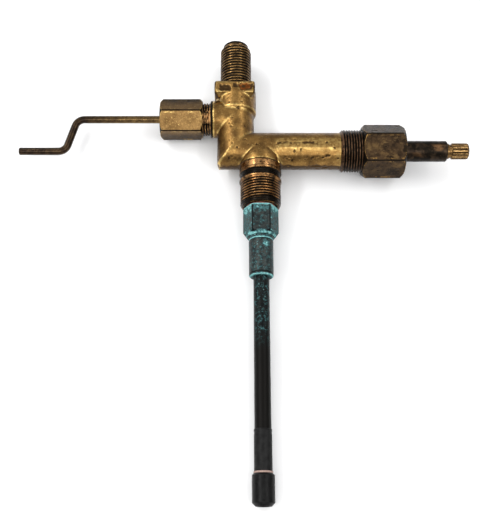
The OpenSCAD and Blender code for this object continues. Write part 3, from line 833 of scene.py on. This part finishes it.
def threaded(name, axis, corners, major, pitch, depth, start, end,
             black_from=FAR, bright_from=-FAR, glint=0.0):
    """Turned piece with a bore whose widest stretch carries a helical thread; glint paints a highlight strip
    towards the camera.
    """
    count, step, wobble = 144, 0.16, 0.03
    along, radius = profile(corners, step, 1)
    radii = spread(radius, count)
    outer = radius > major - 1.6
    groove = thread_groove(along, count, start, end, pitch) * outer[:, None]
    points = surface(axis, along, radii)
    worn = 0.5 + 0.5 * noise(points, 3.5, 41)
    radii = radii - depth * groove * (0.75 + 0.25 * worn) + wobble * rough(points, 1.4, 43) * outer[:, None]
    crest = (1 - groove) * outer[:, None] * (groove < 0.12)
    black = smoothstep(black_from, black_from + 0.4, along)[:, None]
    hollow = np.maximum(groove, black)
    polish = 0.6 + 0.4 * smoothstep(bright_from - 1.5, bright_from, along)[:, None]
    # Painted highlight: a glint strip on the side towards the camera, with its groove darkening cleared.
    toward_view = (points - axis.origin) @ TOWARDS_CAMERA / radii
    highlight_strip = glint * smoothstep(0.93, 0.985, toward_view) * outer[:, None]
    hollow = hollow * (1 - 0.8 * highlight_strip)
    wear_and_highlight = np.maximum(crest * polish * (1 - black), highlight_strip)
    return skin(name, axis, along, radii, {"hollow": hollow, "wear_and_highlight": wear_and_highlight}, looped=True)


def tube_corners(start, end, radius, bore, edge_start=0.3, edge_end=0.3):
    """Profile of a tube with a chamfer at each end."""
    return [(start, bore), (start, radius - edge_start), (start + edge_start, radius),
            (end - edge_end, radius), (end, radius - edge_end), (end, bore), (start, bore)]


def inlet_thread():
    """Supply thread, bright near its cone, with a plain black nose."""
    top = BODY_HIGH[1]
    corners = [(-3, INLET_BORE), (-3, INLET_R), (INLET_CONE + 0.4, INLET_R), (top - 2.1, 7.0),
               (top - 0.6, 6.95), (top, 6.3), (top, INLET_BORE), (-3, INLET_BORE)]
    piece = threaded("inlet_thread", INLET_AXIS, corners, INLET_R, 1.73, 0.85, 0.2, INLET_CONE + 2.8,
                     black_from=top - 2.0, bright_from=INLET_CONE - 3)
    return dress(piece, "cast_brass", "valve", material=INLET_BRASS)


def gland_thread():
    end = -BODY_LOW[0]
    corners = tube_corners(BRANCH_END - 2, end, GLAND_THREAD_R, 5.1)
    piece = threaded("gland_thread", CRANK_AXIS, corners, GLAND_THREAD_R, 1.4, 0.8, BRANCH_END + 0.2, end,
                     glint=1.0)
    return dress(piece, "cast_brass", "valve", material=GLAND_THREAD)


def branch_ring():
    """Thin dark burr where the side branch was faced off."""
    along, radius = profile(tube_corners(BRANCH_END - 1.0, BRANCH_END, 9.95, 8.0, 0.25, 0.4), 0.12)
    radii = spread(radius, 128)
    points = surface(CRANK_AXIS, along, radii)
    radii = radii + 0.10 * rough(points, 2.0, 47) * (radius > 9)[:, None]
    piece = skin("branch_ring", CRANK_AXIS, along, radii, {"hollow": np.full(radii.shape, 0.5)}, looped=True)
    return dress(piece, "cast_brass", "valve", material=GLAND_THREAD)


def bonnet_thread():
    end = BODY_HIGH[0]
    corners = tube_corners(ARM_END - 1.5, end, BONNET_THREAD_R, 6.5, 1.2)
    piece = threaded("bonnet_thread", STEM_AXIS, corners, BONNET_THREAD_R, 1.41, 0.95, ARM_END - 0.4, end)
    return dress(piece, "cast_brass", "valve", material=BLACK_THREAD)


def outlet_shank():
    """Turned band, stained relief with fine rings, a ridge and the outlet thread."""
    end = -BODY_LOW[1] + STEM_Y
    count = 160
    ridge = RIDGE_DEPTH + 0.9
    corners = [(6, SHANK_BORE), (6, BAND_R), (14.4, BAND_R), (14.8, BAND_R - 0.55), (17.6, BAND_R - 0.45),
               (18.1, BAND_R), (ridge, BAND_R), (ridge + 0.5, SHANK_THREAD_R), (end - 1.4, SHANK_THREAD_R),
               (end - 1.1, 10.05), (end - 0.5, 9.9), (end, 9.4), (end, SHANK_BORE), (6, SHANK_BORE)]
    along, radius = profile(corners, 0.15, 1)
    radii = spread(radius, count)
    outer = (radius > 9.5)[:, None]
    thread = thread_groove(along, count, ridge + 0.5, end - 1.2, 1.5) * outer
    rings = thread_groove(along, count, 14.6, 18.4, 0.9, 0.3) * outer
    nick = thread_groove(along, count, BAND_START + 2.6, BAND_START + 3.6, 1.0, 0.5) * outer
    points = surface(OUTLET_AXIS, along, radii)
    radii = radii - 0.85 * thread - 0.28 * rings - 0.22 * nick + 0.03 * rough(points, 1.4, 53) * outer
    relief = smoothstep(14.3, 14.9, along) * smoothstep(18.3, 17.5, along)
    dark_end = smoothstep(end - 2.4, end - 1.2, along)
    hollow = np.clip(thread + rings + 0.85 * (relief + dark_end)[:, None] + nick, 0, 1) * outer
    darkening = smoothstep(0.05, 0.45, noise(points, 5.0, 57)) * smoothstep(ridge, ridge + 0.6, along)[:, None]
    hollow = np.clip(hollow + 0.8 * darkening * outer, 0, 1)
    worn = 0.5 * (along > ridge - 1.2) + 0.8 * (along < 14.4) + 0.5 * (np.abs(along - ridge + 0.4) < 0.45)
    wear_and_highlight = np.clip((1 - thread) * worn[:, None] * (thread < 0.12), 0, 1) * outer
    painted = {"hollow": hollow, "wear_and_highlight": wear_and_highlight}
    piece = skin("outlet_shank", OUTLET_AXIS, along, radii, painted, looped=True)
    return dress(piece, "cast_brass", "valve", material=SHANK_BRASS)


# ---------------------------------------------------------------- nuts, adapter, stem, tube

def hex_piece(axis, corners, flats, turn_deg, dent, seed):
    """Turned blank cut to a hexagon: rounded and dented, dark at its corners and chamfers."""
    count = 360
    along, radius = profile(corners, 0.22, 1)
    blank = spread(radius, count)
    flat = np.repeat(hexagon(flats, count, turn_deg)[None, :], len(along), axis=0)
    radii = soft_min(blank, flat)
    outer = (radius > flats / 2 - 1.2)[:, None]
    points = surface(axis, along, radii)
    dents = smoothstep(0.42, 0.80, noise(points, 2.3, seed))
    dents = dents * smoothstep(-0.1, 0.4, noise(points, 8.0, seed + 1))
    radii = radii + (0.05 * rough(points, 4.0, seed + 2) - dent * dents) * outer
    from_corner = (flats / math.sqrt(3) - flat) * 1.75
    corner = smoothstep(0.62, 0.22, from_corner) * outer
    beside = smoothstep(0.55, 0.75, from_corner) * smoothstep(1.30, 0.95, from_corner) * outer
    chamfer = smoothstep(0.10, 0.45, flat - blank) * outer
    rim = smoothstep(0.22, 0.0, np.abs(blank - flat)) * outer
    beside = beside * smoothstep(0.0, 0.5, noise(points, 3.0, seed + 3))
    hollow = np.clip(0.7 * dents * outer + corner + 0.75 * chamfer, 0, 1)
    return along, radii, {"wear_and_highlight": np.maximum(rim, 0.8 * beside), "hollow": hollow}


def gland_nut():
    low, high = box("gland_nut")
    start, end = -high[0], -low[0]
    corners = [(start, 8.75), (start, 9.5), (start + 1.5, 11.0), (end - 1.5, 11.0), (end, 9.5),
               (end, 3.2), (end - 0.5, 2.35), (end - 4, 2.35), (end - 4, 7.2), (start, 8.75)]
    along, radii, painted = hex_piece(CRANK_AXIS, corners, GLAND_FLATS, GLAND_TURN, 0.07, 61)
    piece = skin("gland_nut_visual", CRANK_AXIS, along, radii, painted, looped=True)
    return dress(piece, "gland_brass", "valve", "gland_nut")


def bonnet_nut():
    low, high = box("bonnet_nut")
    start, end = low[0], high[0]
    corners = [(start, 11.3), (start, 12.5), (start + 1.9, 14.43), (end - 1.9, 14.43), (end, 12.5),
               (end, 6.3), (end - 0.5, 5.8), (end - 3, 5.8), (end - 3, 9.7), (start, 11.3)]
    along, radii, painted = hex_piece(STEM_AXIS, corners, BONNET_FLATS, BONNET_TURN, 0.16, 71)
    piece = skin("bonnet_nut_visual", STEM_AXIS, along, radii, painted, looped=True)
    return dress(piece, "dark_brass", "valve", "bonnet_nut")


HEX_TOP = 33.8
HEX_END = 48.3
BARREL = 51.6
PATCH_TURN = TURN - 0.45


def near(along, place, half):
    """1 at a place and fading away over about half to each side."""
    return np.exp(-((along - place) / half) ** 2)


def adapter_crust(along, turn, bottom):
    """Verdigris crust: three rims and the cone, the hexagon's sides and top, and one patch."""
    lines = near(along, HEX_END + 1.2, 1.2)
    for place, half in ((HEX_TOP + 0.3, 0.4), (BARREL - 0.1, 0.35), (bottom - 0.35, 0.35)):
        lines = np.maximum(lines, 1.6 * near(along, place, half))
    sides = 0.45 * (np.cos(turn) < 0.86)
    upper = 0.55 * smoothstep(HEX_TOP + 5.5, HEX_TOP + 2.0, along)
    on_hex = (along < HEX_END)[:, None]
    patch = near(along, BARREL + 3.2, 1.8)[:, None] * near(turn, PATCH_TURN, 0.32)
    crust = lines[:, None] + (sides[None, :] + upper[:, None]) * on_hex + 1.1 * patch
    return lines, np.clip(crust, 0, 1.6)


def outlet_adapter():
    low, high = box("outlet_adapter")
    top, bottom = STEM_Y - high[1], STEM_Y - low[1]
    corners = [(top, 3.2), (top, 5.7), (top + 0.8, 6.5), (HEX_TOP, 6.5), (HEX_TOP, 8.6),
               (HEX_TOP + 0.6, 9.18), (HEX_END - 0.9, 9.18), (HEX_END + 0.2, 8.1), (BARREL - 0.6, 6.35),
               (BARREL, 6.05), (BARREL + 0.5, 6.25), (bottom - 1.0, 6.15), (bottom - 0.5, 6.0),
               (bottom, 5.2), (bottom, 4.02), (57, 4.02), (57, 3.2), (top, 3.2)]
    along, radii, painted = hex_piece(OUTLET_AXIS, corners, ADAPTER_FLATS, 0.0, 0.06, 81)
    lines, crust = adapter_crust(along, angles(radii.shape[1]), bottom)
    groove = near(along, BARREL + 0.5, 0.3) + near(along, bottom - 1.6, 0.6)
    hollow = np.clip(painted["hollow"] * (lines < 0.8)[:, None] + groove[:, None], 0, 1)
    painted = {"crust": crust, "hollow": hollow}
    piece = skin("outlet_adapter_visual", OUTLET_AXIS, along, radii, painted, looped=True)
    return dress(piece, "patina_brass", "valve", "outlet_adapter")


SPLINE_PART = 11.7


def stem_journal():
    """Dark journal, screw and swivel pin in one piece; the bright splined end is its own skin."""
    low, high = box("stem")
    neck = high[0] - SPLINE_PART
    corners = [(low[0], 0), (low[0], 2.6), (low[0] + 0.4, 3.0), (19, 3.0), (19, 4.4), (60, 4.5), (60, 6.1),
               (74, 6.1), (74, 5.5), (neck - 0.5, 5.5), (neck, 5.1), (neck, 3.0), (neck - 0.3, 0)]
    along, radius = profile(corners, 0.25, 1)
    radii = spread(radius, 128)
    screw = thread_groove(along, 128, 60.3, 73.8, 2.0)
    points = surface(STEM_AXIS, along, radii)
    journal = (along > 76)[:, None]
    radii = radii - 0.9 * screw + 0.03 * rough(points, 2.0, 91) * journal
    # Wear with a painted highlight: a coppery patch on the journal's side towards the camera.
    worn = smoothstep(-0.3, 0.3, noise(points * np.array((0.35, 1, 1)), 2.2, 93)) * journal
    worn = worn * smoothstep(91, 99, along)[:, None] * smoothstep(0.7, 0.95, np.cos(angles(128) - 0.35))
    piece = skin("stem_journal", STEM_AXIS, along, radii, {"hollow": screw, "wear_and_highlight": worn * 0.9})
    return dress(piece, "stem_bronze", "stem", "stem")


def stem_spline():
    high = box("stem")[1]
    end, count, teeth = high[0], 280, 14
    neck = end - SPLINE_PART
    corners = [(neck - 0.6, 0), (neck - 0.6, 4.0), (neck + 1.2, 4.1), (neck + 1.4, 3.6), (neck + 2.4, 3.6),
               (neck + 2.6, 3.9), (neck + 3.0, 4.3), (end - 1.0, 4.3), (end - 0.4, 4.0), (end, 3.3),
               (end, 1.75), (end - 9, 1.75), (end - 9.3, 0)]
    along, radius = profile(corners, 0.14, 1)
    radii = spread(radius, count)
    on_teeth = (smoothstep(neck + 2.5, neck + 3.0, along) * (radius > 3.0))[:, None]
    phase = (teeth * angles(count) / TURN) % 1.0
    valley = np.clip(1 - np.abs(phase - 0.5) / 0.27, 0, 1)[None, :] * on_teeth
    radii = radii - 0.6 * valley
    piece = skin("stem_spline", STEM_AXIS, along, radii,
                 {"hollow": valley * 0.9, "wear_and_highlight": (1 - valley) * on_teeth})
    return dress(piece, "stem_bronze", "stem", material=SPLINE_BRASS)


def outlet_tube():
    low, high = box("outlet_tube")
    top, bottom = STEM_Y - high[1], STEM_Y - low[1]
    along, radius = profile(tube_corners(top, bottom, 3.97, 3.15, 0.15, 0.15), 0.5, 0)
    radii = spread(radius, 96)
    points = surface(OUTLET_AXIS, along, radii)
    outer = (radius > 3.6)[:, None]
    radii = radii + 0.035 * rough(points, 2.4, 101) * outer
    piece = skin("outlet_tube_visual", OUTLET_AXIS, along, radii, looped=True)
    return dress(piece, "tube_patina", "valve", "outlet_tube")


def tube_sleeve():
    """Thin sleeve with a rolled upper lip and a faint ring below it."""
    low, high = box("tube_sleeve")
    top, bottom = STEM_Y - high[1], STEM_Y - low[1]
    corners = [(top, 4.0), (top, 4.12), (top + 0.3, 4.27), (top + 1.0, 4.25), (top + 1.3, 4.17),
               (top + 2.2, 4.17), (top + 2.6, 4.25), (bottom, 4.25), (bottom, 4.0), (top, 4.0)]
    along, radius = profile(corners, 0.15, 1)
    radii = spread(radius, 96)
    points = surface(OUTLET_AXIS, along, radii)
    radii = radii + 0.02 * rough(points, 2.0, 103) * (radius > 4.1)[:, None]
    piece = skin("tube_sleeve_visual", OUTLET_AXIS, along, radii, looped=True)
    return dress(piece, "sleeve_black", "valve", "tube_sleeve")


def outlet_tip():
    """Chamfered black tip with a small moulding notch in its free end."""
    low, high = box("outlet_tip")
    top, bottom = STEM_Y - high[1], STEM_Y - low[1]
    corners = [(top, 4.02), (top, 4.4), (top + 0.9, 5.3), (bottom - 1.6, 5.3), (bottom - 0.3, 4.0),
               (bottom, 3.7), (bottom, 3.15), (bottom - 6, 3.15), (bottom - 6, 4.02), (top, 4.02)]
    along, radius = profile(corners, 0.16, 2)
    radii = spread(radius, 128)
    points = surface(OUTLET_AXIS, along, radii)
    outer = (radius > 3.4)[:, None]
    side = angles(128)[None, :]
    notch = smoothstep(0.30, 0.12, np.abs((side + math.pi) % TURN - math.pi))
    notch = notch * smoothstep(bottom - 1.7, bottom - 1.0, along)[:, None]
    radii = radii + (0.03 * rough(points, 2.2, 107) - 0.35 * notch) * outer
    piece = skin("outlet_tip_visual", OUTLET_AXIS, along, radii, looped=True)
    return dress(piece, "tip_black", "valve", "outlet_tip")


def dress_inner_parts():
    """CAD parts that keep their own shape get the material of their slot."""
    for row in frame["record"]["subparts"]:
        node = frame["nodes"][row["node"]]
        node.data.materials.clear()
        node.data.materials.append(MATERIALS[row["material_slot"]])


# ---------------------------------------------------------------- stage, light and camera

def table_top():
    """White table that slants under the valve, which rests on its nuts and its tip."""
    lie = np.array((-0.0367, -0.0382))
    level = -11.72

    def height(x, y):
        return level + lie[0] * x + lie[1] * (y - STEM_Y)

    reach = 1500.0
    corners = [(-reach, -reach), (reach, -reach), (reach, reach), (-reach, reach)]
    mesh = bpy.data.meshes.new("table")
    mesh.from_pydata([(x * MM, y * MM, height(x, y) * MM) for x, y in corners], [], [(0, 1, 2, 3)])
    table = bpy.data.objects.new("table", mesh)
    bpy.context.scene.collection.objects.link(table)
    g = Graph("table_white")
    color = g.mix(g.band(g.noise(60.0, 3.0), 0.3, 0.7), (0.86, 0.86, 0.865), (0.90, 0.90, 0.90))
    table.data.materials.append(g.finish(color, 0.6, 0.0))


def area_light(name, place_mm, size_mm, power, aim_mm=(0, -60, 0)):
    """White rectangular lamp at a place, turned to its aim."""
    data = bpy.data.lights.new(name, "AREA")
    data.shape = "RECTANGLE"
    data.size, data.size_y = size_mm[0] * MM, size_mm[1] * MM
    data.energy = power
    lamp = bpy.data.objects.new(name, data)
    lamp.location = Vector(place_mm) * MM
    lamp.rotation_euler = (Vector(aim_mm) - Vector(place_mm)).to_track_quat("-Z", "Y").to_euler()
    bpy.context.scene.collection.objects.link(lamp)


def room_light():
    """Even white room, dimmer towards the horizon."""
    world = bpy.data.worlds.new("room")
    world.use_nodes = True
    tree = world.node_tree
    split = tree.nodes.new("ShaderNodeSeparateXYZ")
    tree.links.new(tree.nodes.new("ShaderNodeTexCoord").outputs["Generated"], split.inputs[0])
    level = tree.nodes.new("ShaderNodeMapRange")
    for name, value in (("From Min", 0.0), ("From Max", 0.9), ("To Min", 0.30), ("To Max", 0.86)):
        level.inputs[name].default_value = value
    tree.links.new(split.outputs["Z"], level.inputs["Value"])
    background = tree.nodes["Background"]
    background.inputs["Color"].default_value = (1.0, 1.0, 1.0, 1.0)
    tree.links.new(level.outputs["Result"], background.inputs["Strength"])
    bpy.context.scene.world = world


def lights():
    room_light()
    area_light("left_window", (-380, 90, 520), (900, 90), 2.3, (0, 90, 0))
    area_light("right_window", (380, 90, 520), (900, 70), 1.5, (0, 90, 0))
    area_light("front_window", (0, -350, 520), (760, 110), 1.5, (0, -30, 0))
    area_light("left_soft_box", (-560, 260, 560), (420, 420), 1.0)


def camera():
    """At the viewer's place: over the lower edge of the table, looking down and forward."""
    tilt = math.radians(21.0)
    distance = 402.8
    aim = Vector((2.3, STEM_Y - 63.3, 0))
    data = bpy.data.cameras.new("camera")
    data.sensor_fit = "HORIZONTAL"
    data.sensor_width = 36.0
    data.lens = 60.0
    data.clip_start = 0.01
    view = bpy.data.objects.new("camera", data)
    view.location = (aim + distance * Vector((0, -math.sin(tilt), math.cos(tilt)))) * MM
    view.rotation_euler = (tilt, 0, 0)
    bpy.context.scene.collection.objects.link(view)
    bpy.context.scene.camera = view


dress_inner_parts()
for make in (casting, inlet_thread, gland_thread, branch_ring, bonnet_thread, outlet_shank, gland_nut,
             bonnet_nut, outlet_adapter, stem_journal, stem_spline, outlet_tube, tube_sleeve, outlet_tip,
             table_top, lights, camera):
    make()

bpy.context.scene.view_settings.view_transform = "Standard"
